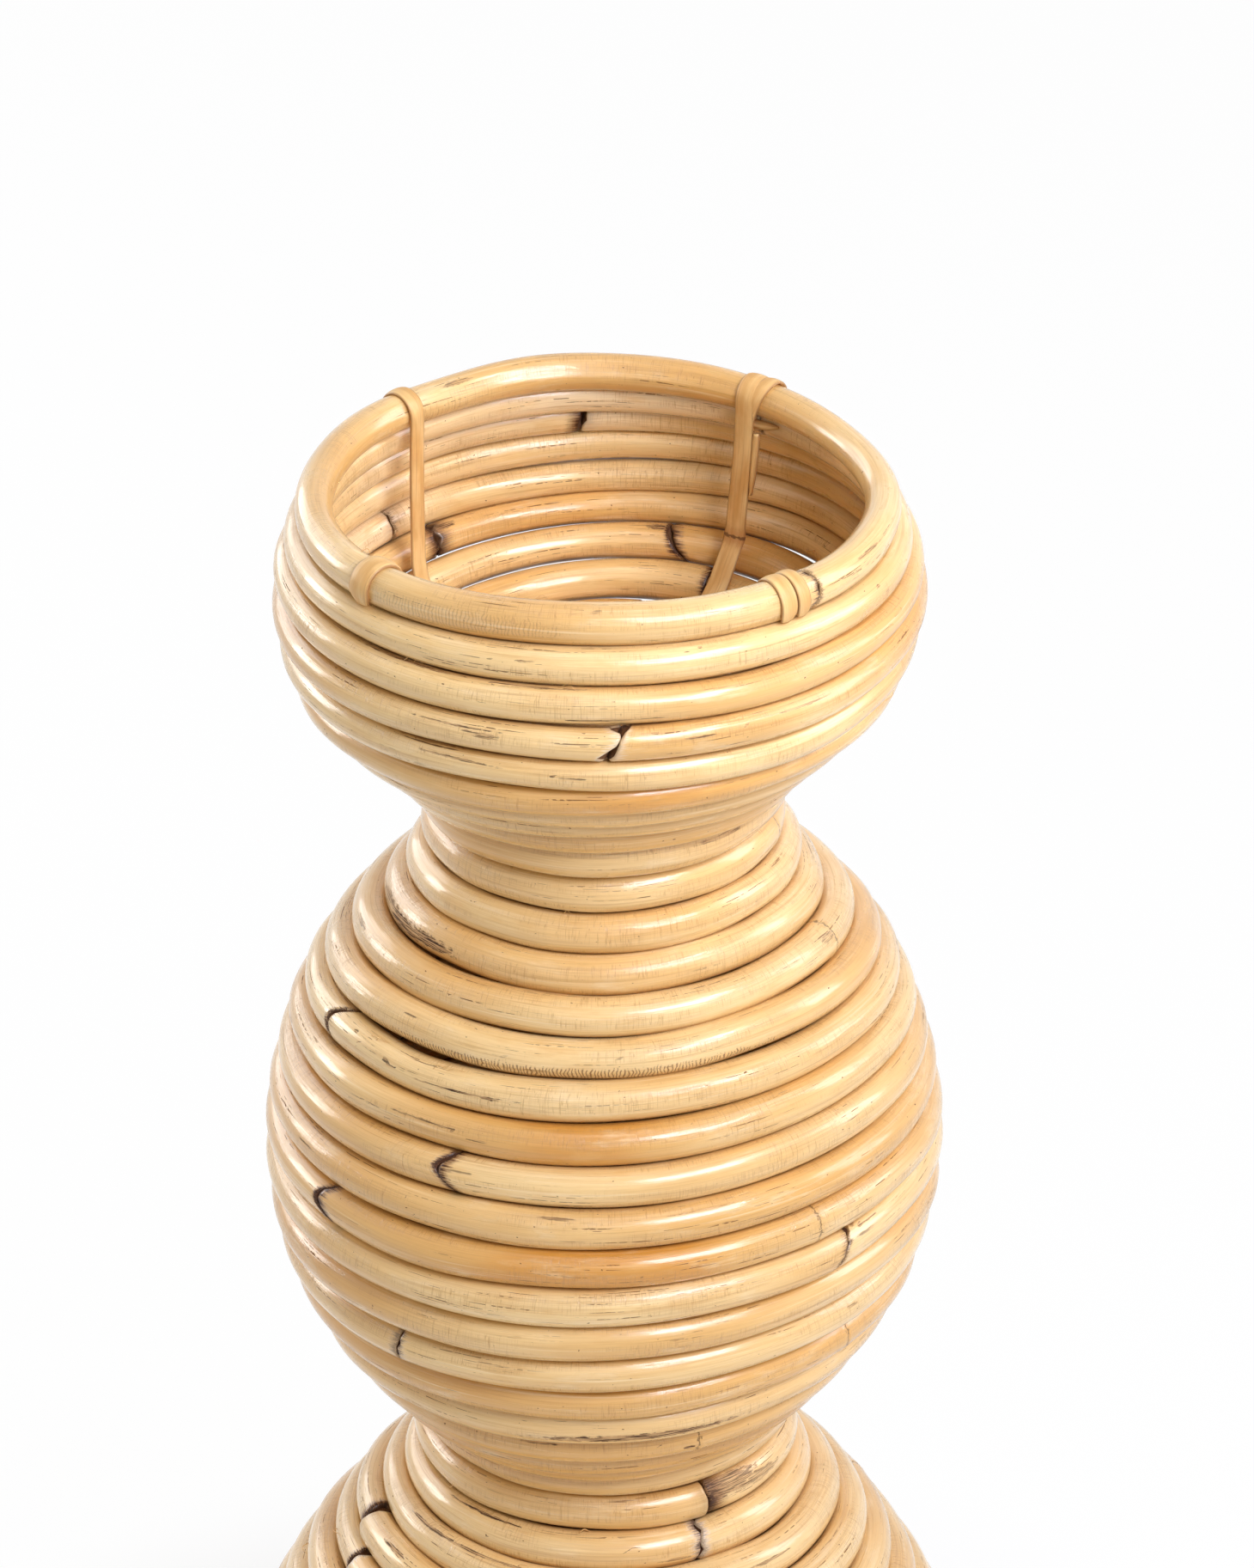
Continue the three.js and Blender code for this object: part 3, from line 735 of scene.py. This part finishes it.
def cane_material():
    n = Surface("cane")
    at = n.attribute("cane_at", "Vector")
    tone = n.attribute("tone")
    # Broad drifts of colour along the cane, then mottling, then streaks along the grain
    drift = n.grain(0.007, 0.04)
    mottle = n.grain(0.035, 0.13, (7, 3, 1), detail=4, roughness=0.6)
    streak = n.grain(0.010, 0.75, (31, 5, 2), detail=4, roughness=0.62)
    fine = n.grain(0.04, 2.8, (11, 8, 5))
    warm = n.plus(n.times(tone, 0.34), drift)
    body = n.mix(n.ramp(warm, 0.34, 0.82), STRAW, HONEY)
    # The lowest tones turn pale; this is where the inner back wall gets its painted light
    n.colour = n.mix(n.ramp(warm, -0.2, 0.2), PALE, body)
    n.paint(n.ramp(warm, 0.78, 1.15), AMBER)
    n.paint(n.ramp(mottle, 0.5, 0.72, 0, 0.45), HONEY)
    n.paint(n.ramp(mottle, 0.3, 0.46, 0.35, 0), PALE)
    n.paint(n.ramp(streak, 0.51, 0.74, 0, 0.5), STREAK)
    n.paint(n.ramp(streak, 0.27, 0.44, 0.45, 0), PALE)
    n.paint(n.ramp(fine, 0.45, 0.72, 0, 0.2), FINE_STREAK)

    # Thin dark dashes along the grain, in patches, and pits
    patch = n.grain(0.011, 0.07, (3, 9, 4))
    dash_noise = n.grain(0.030, 1.7, (1, 2, 3), detail=1.5)
    breaks = n.grain(0.35, 1.1, (5, 7, 9), detail=1)
    pits = n.grain(0.45, 0.75, (12, 2, 6), detail=1)
    dash = n.times(n.ramp(dash_noise, 0.655, 0.69), n.ramp(patch, 0.47, 0.56))
    dash = n.most(n.times(dash, n.ramp(breaks, 0.42, 0.50)), n.ramp(pits, 0.775, 0.80))
    n.paint(n.times(dash, 0.85), DASH)

    # The glassy skin is crazed: fine lines across the cane, crossed by lines along it
    across = n.crest(n.grain(1.1, 0.06, (2, 4, 8), detail=1))
    along = n.crest(n.grain(0.02, 2.0, (4, 6, 2), detail=1))
    crazed = n.grain(0.016, 0.14, (6, 1, 7))
    crack = n.most(n.ramp(across, 0.0, 0.035, 1, 0), n.ramp(along, 0.0, 0.03, 0.8, 0))
    crack = n.times(crack, n.ramp(crazed, 0.44, 0.60))
    n.paint(n.times(crack, 0.55), CRACK)

    # Nodes and cut ends, with ragged dark edges
    rag = n.swing(n.grain(0.9, 0.55, (4, 4, 4), detail=3, roughness=0.65), 5.0)
    node_at = n.math("ABSOLUTE", n.plus(n.attribute("node_at"), rag))
    node = n.ramp(node_at, 0.15, 0.7, 0.8, 0)
    n.paint(n.ramp(node_at, 0.5, 6, 0.25, 0), HONEY)
    n.paint(n.times(node, 0.8), DARK)
    stain, fringe, soak = n.split(n.attribute("joint", "Vector"))
    end = n.attribute("end_at")
    fibres = n.grain(0.10, 2.2, (8, 2, 6), detail=3, roughness=0.6)
    frayed = n.ramp(n.plus(end, n.swing(fibres, 14.0)), 1.2, 4.2, 0.85, 0)
    n.paint(n.times(frayed, fringe), FRAYED)
    reached = n.plus(end, n.times(rag, 0.5), n.swing(fibres, 9.0))
    reached = n.math("DIVIDE", reached, soak)
    stained = n.most(node, n.times(n.ramp(reached, 0.6, 2.2, 0.9, 0), stain))
    n.paint(n.times(n.ramp(reached, 0.6, 2.2, 0.85, 0), stain), BROWN)
    n.paint(n.times(n.ramp(reached, 0.2, 1.0, 0.9, 0), stain), DARK)

    # Marks: scars with ragged outlines and combs of cracks across the cane
    along, around, dark = n.split(n.attribute("mark", "Vector"))
    edge = n.grain(0.30, 0.7, (9, 1, 9), detail=4, roughness=0.65)
    within = n.ramp(n.plus(n.distance(along, around), n.swing(edge, 1.8)), 0.7, 1.05, 1, 0)
    scar = n.times(within, n.times(dark, n.ramp(fibres, 0.36, 0.56, 0.55, 1)), clamp=True)
    n.paint(scar, n.mix(n.ramp(fibres, 0.44, 0.58), *SCAR))
    uneven = n.times(n.grain(0.20, 0.25, (3, 3, 3), detail=1), 12.0)
    teeth = n.math("SINE", n.plus(n.times(n.split(at)[0], COMB_TEETH), uneven))
    comb = n.times(n.times(n.ramp(teeth, 0.1, 0.8), within), n.ramp(dark, -1, 0, 1, 0))
    n.paint(n.times(comb, 0.8), COMB)

    # Painted shade in the grooves where the canes touch
    seat = n.plus(n.attribute("seat"), n.swing(mottle, 0.05))
    n.paint(n.ramp(seat, 0.88, 0.985, 0, 0.5), GROOVE_SHADE)
    n.paint(n.ramp(seat, 0.975, 0.995, 0, 0.75), DEEP_GROOVE_SHADE)

    n.give("Base Color", n.colour)
    rough = n.plus(n.ramp(mottle, 0.3, 0.7, 0.24, 0.40), n.times(dash, 0.3), n.times(crack, 0.10))
    n.give("Roughness", n.plus(rough, n.times(scar, 0.4), clamp=True))
    n.give("Specular IOR Level", SPECULAR)
    worn = n.most(n.most(dash, scar), n.most(n.ramp(seat, 0.9, 0.98), stained))
    n.give("Coat Weight", n.times(n.minus(1.0, worn, clamp=True), COAT))
    n.give("Coat Roughness", COAT_ROUGHNESS)
    grain = n.plus(n.times(streak, 0.6), n.times(fine, 0.35))
    opened = n.times(n.plus(scar, comb, node), 0.6)
    hollow = n.plus(n.times(dash, 0.6), n.times(crack, 0.30), opened)
    n.give("Normal", n.bump(n.minus(grain, hollow), 0.0003, 0.6))
    n.give("Coat Normal", n.bump(n.minus(streak, hollow), 0.0002, 0.5))
    return n.material


def end_grain_material():
    """The cut face of a cane: pale pith full of pores, darker towards the skin."""
    n = Surface("cane_end")
    at = n.attribute("cane_at", "Vector")
    pores = n.add("ShaderNodeTexVoronoi", Vector=at, Scale=1.5)
    pore = n.ramp(pores.outputs["Distance"], 0.12, 0.42, 1, 0)
    _, out, up = n.split(at)
    colour = n.mix(n.ramp(n.distance(out, up), 3, 8.0), *PITH)
    n.give("Base Color", n.mix(n.times(pore, 0.7), colour, PORE))
    n.give("Roughness", 0.8)
    n.give("Normal", n.bump(pore, 0.0004, 0.8))
    return n.material


def rib_material():
    n = Surface("split_cane")
    streak = n.grain(0.02, 1.1, (3, 1, 2), detail=4, roughness=0.6)
    blotch = n.grain(0.05, 0.2, (1, 6, 2), detail=3)
    fine = n.grain(0.08, 4.0, (11, 8, 5))
    n.colour = n.mix(n.ramp(blotch, 0.35, 0.7), *SPLIT)
    n.paint(n.ramp(streak, 0.5, 0.75, 0, 0.55), SPLIT_STREAK)
    n.paint(n.ramp(fine, 0.5, 0.75, 0, 0.2), SPLIT_FINE)
    n.paint(n.ramp(n.attribute("edge_at"), 0.0, 0.9, 0.7, 0), SPLIT_EDGE)
    ragged = n.swing(n.grain(0.8, 0.7, detail=3), 3.0)
    node = n.math("ABSOLUTE", n.plus(n.attribute("node_at"), ragged))
    n.paint(n.ramp(node, 1.0, 7.0, 0.6, 0), SPLIT_NODE[0])
    n.paint(n.ramp(node, 0.3, 1.2, 0.85, 0), SPLIT_NODE[1])
    n.give("Base Color", n.colour)
    n.give("Roughness", n.ramp(blotch, 0.3, 0.7, 0.36, 0.5))
    n.give("Normal", n.bump(n.plus(streak, n.times(fine, 0.4)), 0.0003, 0.6))
    return n.material


def plywood_material():
    """Face veneer with lengthwise figure and fine pores."""
    n = Surface("plywood")
    place = n.add("ShaderNodeTexCoord").outputs["Object"]
    figure = n.noise(place, (9, 120, 40), detail=4, roughness=0.6, distortion=0.6)
    pores = n.noise(place, (60, 1400, 300), (2, 2, 2))
    colour = n.mix(n.ramp(figure, 0.35, 0.7), *VENEER)
    n.give("Base Color", n.mix(n.ramp(pores, 0.55, 0.75, 0, 0.5), colour, VENEER_PORE))
    n.give("Roughness", n.ramp(figure, 0.3, 0.7, 0.65, 0.8))
    n.give("Normal", n.bump(n.plus(figure, pores), 0.0003, 0.5))
    return n.material


# ---- ribs
# Strips, named after their rib. turn: degrees from the solid rib; width: at the rim and the foot;
# aside: how far to the side at the rim; lean: how much further at the foot; lean_at: where that
# starts and over what part of the way it grows; sink: how deep the strip goes under the one beside
# it; span: from where to where along the way; nodes: where its nodes are; crown: how high its face
# is arched
PLAIN_STRIP = dict(turn=0, width=(8.4, 9.5), aside=0, lean=0, lean_at=(0.2, 0.55), sink=0,
                   span=(0, 999), nodes=(), crown=1)
STRIPS = {
    "bowl_strip_1": dict(turn=-2.5, width=(8, 7.2), aside=-3.6, nodes=(70,)),
    "bowl_strip_1b": dict(turn=-2.5, width=(6.4, 5), aside=3.7, span=(0, 96)),
    "bowl_strip_2": dict(turn=1, width=(8.6, 10.5), lean=5, nodes=(94,)),
    "bowl_strip_2b": dict(turn=1, width=(7.2, 6), aside=-7.2, lean=7, lean_at=(0.1, 0.2), sink=0.9,
        span=(1, 46)),
    "bowl_strip_2c": dict(turn=1, width=(3.6, 2.6), aside=-6.6, lean=7, span=(44, 73)),
    "bowl_strip_3": dict(width=(7.8, 8.2), lean=1),
    "bowl_strip_4": dict(turn=3, width=(11.4, 9), nodes=(80,), crown=1.5),
}
RIB_THICKNESS = 1.7
RIB_STEP = 1.0
FOLD = (-38, 176, 40)  # section angles between which a rib bends over the rim, and its points
LEG = ((0.3, 20), (0.2, 45))  # how far outside the fold's end it hangs, and how far below the rim
KNEE = 8  # how far above the first low hoop it leaves the straight
FOOT_HOOPS, FOOT_POINTS = range(6, 13), 3
SMOOTHINGS = 6
# A strip's section, in shares of half its width and thickness: crowned face, then flat back
STRIP_ACROSS = np.array([-1, -0.96, -0.8, -0.45, 0, 0.45, 0.8, 0.96, 1, 0.96, 0.5, 0, -0.5, -0.96])
STRIP_HEIGHT = np.array([0, 0.55, 0.85, 1.15, 1.28, 1.15, 0.85, 0.55, 0, -0.45, -0.5,
                         -0.5, -0.5, -0.45])
STRIP_WAVES = (0.25, 2, 8)
SWELL, SWELL_WIDE = 0.35, 2.5
PINCH_TOP, PINCH_FOOT = (0.25, 2.5), (0.5, 5)  # by what share an end is narrower, and how far
STRIP_GRAIN_APART = 900


def rib_azimuth(node):
    p = points_of(node)
    top = p[p[:, 2] > p[:, 2].max() - 2]
    return math.atan2(top[:, 0].mean(), -top[:, 1].mean())


def rib_line(azimuth):
    """Middle line of a rib in its own plane: over the rim, down, then along the funnel."""
    clear = RIB_THICKNESS / 2 + 0.05
    r0, z0, c0 = hoop_centre(0, azimuth)
    reach = c0 + clear
    fold = np.radians(np.linspace(*FOLD))
    line = [(r0 + math.cos(angle) * reach, z0 + math.sin(angle) * reach) for angle in fold]
    leg = line[-1][0]
    foot = []
    for hoop in FOOT_HOOPS:
        r, z, c = hoop_centre(hoop - 1, azimuth)
        along = CENTRES[hoop] - CENTRES[hoop - 2]
        inward = np.array([along[1], -along[0]]) / np.hypot(*along)
        if inward[0] > 0:
            inward = -inward
        point = (r + inward[0] * (c + clear), z + inward[1] * (c + clear))
        if point[0] < leg - 0.5 and len(foot) < FOOT_POINTS:
            foot.append(point)
    line += [(leg + out, z0 - down) for out, down in LEG]
    line += [(leg - 0.4, foot[0][1] + (leg - foot[0][0]) * 0.9 + KNEE)]
    return np.array(line + foot)


def smooth_line(points, step):
    """A smooth curve through points, at equal steps."""
    knots = np.concatenate([[0], np.cumsum(np.hypot(*np.diff(points, axis=0).T))])
    fine = np.arange(0, knots[-1], step)
    out = np.stack([np.interp(fine, knots, points[:, i]) for i in range(2)], 1)
    for _ in range(SMOOTHINGS):
        out[1:-1] = (out[:-2] + 2 * out[1:-1] + out[2:]) / 4
    return out, fine


def make_strip(name, materials):
    look = {**PLAIN_STRIP, **STRIPS[name]}
    node = name.rstrip("bc").replace("strip", "rib")
    azimuth = rib_azimuth(node) + math.radians(look["turn"])
    line, s = smooth_line(rib_line(azimuth), RIB_STEP)
    tangent = np.gradient(line, axis=0)
    tangent /= np.hypot(*tangent.T)[:, None]
    normal = np.stack([-tangent[:, 1], tangent[:, 0]], 1)  # away from the cane that it lies on
    if normal[5] @ (line[5] - np.array(hoop_centre(0, azimuth)[:2])) < 0:
        normal = -normal
    t = s / s[-1]
    kept = (s >= look["span"][0]) & (s <= look["span"][1])
    first, last = s[kept][[0, -1]]
    width = np.interp(s, [first, last], look["width"])
    leaning = np.clip((t - look["lean_at"][0]) / look["lean_at"][1], 0, 1)
    lean = look["aside"] + look["lean"] * leaning ** 2 * (3 - 2 * leaning)
    line = line - normal * (look["sink"] * leaning)[:, None]
    rng = np.random.default_rng(STRIP_SEED + len(name) + int(node[-1]))
    lean = lean + waves(rng, t * 3, *STRIP_WAVES)
    pinch = 1 - PINCH_TOP[0] * bump_at(s, first, PINCH_TOP[1])
    if last < s[-1] - 1:
        pinch = pinch - PINCH_FOOT[0] * bump_at(s, last, PINCH_FOOT[1])
    swell = np.zeros_like(s)
    node_at = np.full(len(s), FAR)
    for place in look["nodes"]:
        swell += SWELL * bump_at(s, place, SWELL_WIDE)
        node_at = np.where(abs(s - place) < abs(node_at), s - place, node_at)

    outward = np.array([math.sin(azimuth), -math.cos(azimuth), 0])
    aside = np.array([math.cos(azimuth), math.sin(azimuth), 0])
    up = np.array([0, 0, 1])
    centre = line[:, :1] * outward + line[:, 1:] * up + lean[:, None] * aside
    out = normal[:, :1] * outward + normal[:, 1:] * up
    height = np.where(STRIP_HEIGHT > 0, STRIP_HEIGHT * look["crown"], STRIP_HEIGHT)
    across = STRIP_ACROSS * (width * pinch / 2 + swell)[:, None]
    lift = height * (RIB_THICKNESS / 2) + np.maximum(height, 0) * swell[:, None]
    points = centre[:, None] + aside * across[..., None] + out[:, None] * lift[..., None]
    points, s, half, node_at = points[kept], s[kept], width[kept][:, None] / 2, node_at[kept]
    faces = closed_tube(*points.shape[:2])
    grain = s[:, None] + STRIP_GRAIN_APART * int(node[-1])
    at = np.stack(np.broadcast_arrays(grain, STRIP_ACROSS * half, height), -1)
    attributes = {
        "cane_at": at.reshape(-1, 3),
        "edge_at": ((1 - abs(STRIP_ACROSS)) * half).ravel(),
        "node_at": np.repeat(node_at, len(STRIP_ACROSS)),
    }
    piece = write_mesh(name, points.reshape(-1, 3), faces, attributes, materials)
    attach(piece, "root")
    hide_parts(node)


# ---- splinters and loose fibres
# Hoop, azimuth, section angle, length along the cane, height of the arch, drift across the cane,
# and radius at its thick end. The splinter is the split end beside the back right rib.
SPLINTERS = [(2, 146, 178, -13, 0.8, -1.5, 2.1)]
FIBRES = [
    (16, -52, 62, 6, 2.4, 2.5, 0.16), (16, -54, 66, 9, 1.2, 1, 0.14),
    (16, -33, 66, 8, 1.6, 1.5, 0.16), (16, -36, 60, 5, 2.2, 2.5, 0.13),
    (3, -38, 84, 6, 2, 2, 0.16), (3, -36, 88, 4, 2.6, 1, 0.15), (3, -8, 84, 10, 1.5, 2, 0.14),
    (3, -7, 80, 6, 2.2, -1.5, 0.14), (12, -12, 80, 3, 1.5, 1, 0.18),
    (31, -8, 84, 5, 1.4, 1.5, 0.3), (31, -58, 84, 5, 1.6, 2, 0.25),
    (32, -24, 80, 5, 1.4, 1.5, 0.25), (1, -56, 110, 6, 2.2, 1.5, 0.16),
    (1, -14, 120, 7, 1.8, -1, 0.14), (3, 66, 30, 8, 2.4, 1.5, 0.14), (6, 70, 10, 7, 2.2, 2, 0.14),
    (34, -86, 20, 9, 2.6, 2, 0.16), (36, -84, 20, 8, 2.8, 2, 0.16),
    (35, -92, 10, 7, 2.4, -2, 0.16), (8, 150, 100, 9, 1.8, 2.5, 0.16),
    (6, 131, 170, 6, 1.6, 1.5, 0.3),
]
FIBRE_POINTS, FIBRE_SIDES = 9, 6
FIBRE_TAPER = 0.75
FIBRE_GRAIN, FIBRE_GRAIN_APART = 700, 40
WELL_INSIDE = 5.0  # stands for no edge near


def make_splinters(name, splinters, materials):
    """Thin tapered slivers that lift off the canes in arches, all in one piece."""
    vertices, faces, at = [], [], []
    round_it = np.arange(FIBRE_SIDES) / FIBRE_SIDES * TURN
    t = np.linspace(0, 1, FIBRE_POINTS)
    for hoop, azimuth, section, length, arch, drift, thick in splinters:
        middle = []
        for part in t:
            angle = math.radians(azimuth) + length * part / MIDDLE_RADIUS[hoop - 1].mean()
            r, z, cane = hoop_centre(hoop - 1, angle)
            turn = math.radians(section) + drift * part / cane
            lift = cane + thick * 0.5 + arch * math.sin(math.pi * min(part * 1.15, 1)) ** 1.5
            out, up = r + lift * math.cos(turn), z + lift * math.sin(turn)
            middle.append((out * math.sin(angle), -out * math.cos(angle), up))
        middle = np.array(middle)
        ahead = np.gradient(middle, axis=0)
        ahead /= np.linalg.norm(ahead, axis=1)[:, None]
        side = np.cross(ahead, [0.1, 0.2, 1.0])
        side /= np.linalg.norm(side, axis=1)[:, None]
        above = np.cross(side, ahead)
        radius = thick * (1 - FIBRE_TAPER * t ** 3)
        base = len(vertices)
        for i in range(FIBRE_POINTS):
            along = FIBRE_GRAIN + FIBRE_GRAIN_APART * hoop + length * t[i]
            for a in round_it:
                spoke = math.cos(a) * side[i] + math.sin(a) * above[i]
                vertices.append(middle[i] + radius[i] * spoke)
                at.append((along, 2 * thick * math.cos(a), 2 * thick * math.sin(a)))
        for face in closed_tube(FIBRE_POINTS, FIBRE_SIDES):
            faces.append([base + j for j in face])
    attributes = {
        "cane_at": at,
        "edge_at": np.full(len(at), WELL_INSIDE),
        "node_at": np.full(len(at), FAR),
    }
    piece = write_mesh(name, vertices, faces, attributes, materials)
    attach(piece, "root")


# ---- stage
FLOOR = 30.0  # half its width in metres
FLOOR_GREY, FLOOR_ROUGHNESS = (0.86, 0.86, 0.86, 1), 0.9
FLOOR_GLOW = (0.5, 0.97)  # share of plain white in what the camera sees, by the vase and beyond
FLOOR_NEAR, FLOOR_BEYOND = 0.22, 0.42  # metres from the vase's axis
AMBIENT = 0.13
WHITE = (1, 1, 1, 1)

# Lamps: azimuth and rise, distance, width and height in metres, watts, colour, the height that it
# looks at, and how wide its light spreads
COOL, COOLER, WARM = (0.97, 0.96, 1.06), (0.95, 0.98, 1.15), (1, 0.96, 0.7)
CREAM, PLAIN = (1, 0.98, 0.95), (1, 1, 1)
LAMPS = {
    "key": (34, 42, 2.6, 1.2, 0.9, 50, COOLER),
    "front": (-4, 28, 3.6, 3.0, 2.0, 17, WARM),
    "left": (-114, 15, 2.2, 0.7, 0.8, 15, CREAM),
    "left_back": (-138, 20, 2.4, 1.2, 1.6, 17),
    "right": (96, 28, 2.2, 0.8, 1.3, 18, COOL),
    "top": (0, 84, 2.4, 1.2, 1.2, 8),
    "bowl": (58, 46, 1.7, 0.3, 0.3, 0.10, PLAIN, 0.67, 14),
}


def make_floor():
    n = Surface("floor")
    n.give("Base Color", FLOOR_GREY)
    n.give("Roughness", FLOOR_ROUGHNESS)
    x, y, _ = n.split(n.add("ShaderNodeTexCoord").outputs["Object"])
    glow = n.ramp(n.distance(x, y), FLOOR_NEAR, FLOOR_BEYOND, *FLOOR_GLOW)
    white = n.add("ShaderNodeEmission").outputs[0]
    n.either(n.times(n.seen_plainly(), glow), n.shader.outputs[0], white)
    corners = [(x * FLOOR, y * FLOOR, 0) for x, y in ((-1, -1), (1, -1), (1, 1), (-1, 1))]
    mesh = bpy.data.meshes.new("floor")
    mesh.from_pydata(corners, [], [(0, 1, 2, 3)])
    mesh.materials.append(n.material)
    add_object("floor", mesh)


def make_world():
    world = bpy.data.worlds.new("world")
    bpy.context.scene.world = world
    n = Nodes(world, "ShaderNodeOutputWorld")
    skies = []
    for strength in (AMBIENT, 1):
        sky = n.add("ShaderNodeBackground", Color=WHITE, Strength=strength)
        skies.append(sky.outputs[0])
    n.either(n.seen_plainly(), *skies)


def make_lamp(name, azimuth, rise, distance, width, height, watts, colour=PLAIN, aim=0.45,
              spread=180):
    """A soft box that looks at the vase's axis."""
    a, e = math.radians(azimuth), math.radians(rise)
    back = Vector((math.sin(a) * math.cos(e), -math.cos(a) * math.cos(e), math.sin(e)))
    data = bpy.data.lights.new(name, "AREA")
    data.shape = "RECTANGLE"
    data.size, data.size_y = width, height
    data.energy = watts
    data.color = colour
    data.spread = math.radians(spread)
    lamp = add_object(name, data)
    lamp.location = Vector((0, 0, aim)) + back * distance
    lamp.rotation_mode = "QUATERNION"
    lamp.rotation_quaternion = (-back).to_track_quat("-Z", "Y")
    lamp.visible_camera = False


make_camera()
make_floor()
make_world()
for name, lamp in LAMPS.items():
    make_lamp(name, *lamp)
bpy.context.scene.view_settings.view_transform = "Standard"

cane_parts = [cane_material(), end_grain_material()]
for hoop in range(HOOPS):
    make_hoop(hoop, cane_parts)
split = [rib_material()]
for strip in STRIPS:
    make_strip(strip, split)
make_splinters("splinters", SPLINTERS, split)
make_splinters("loose_fibres", FIBRES, split)

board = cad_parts["base_board"]
board.data.materials.clear()
board.data.materials.append(plywood_material())
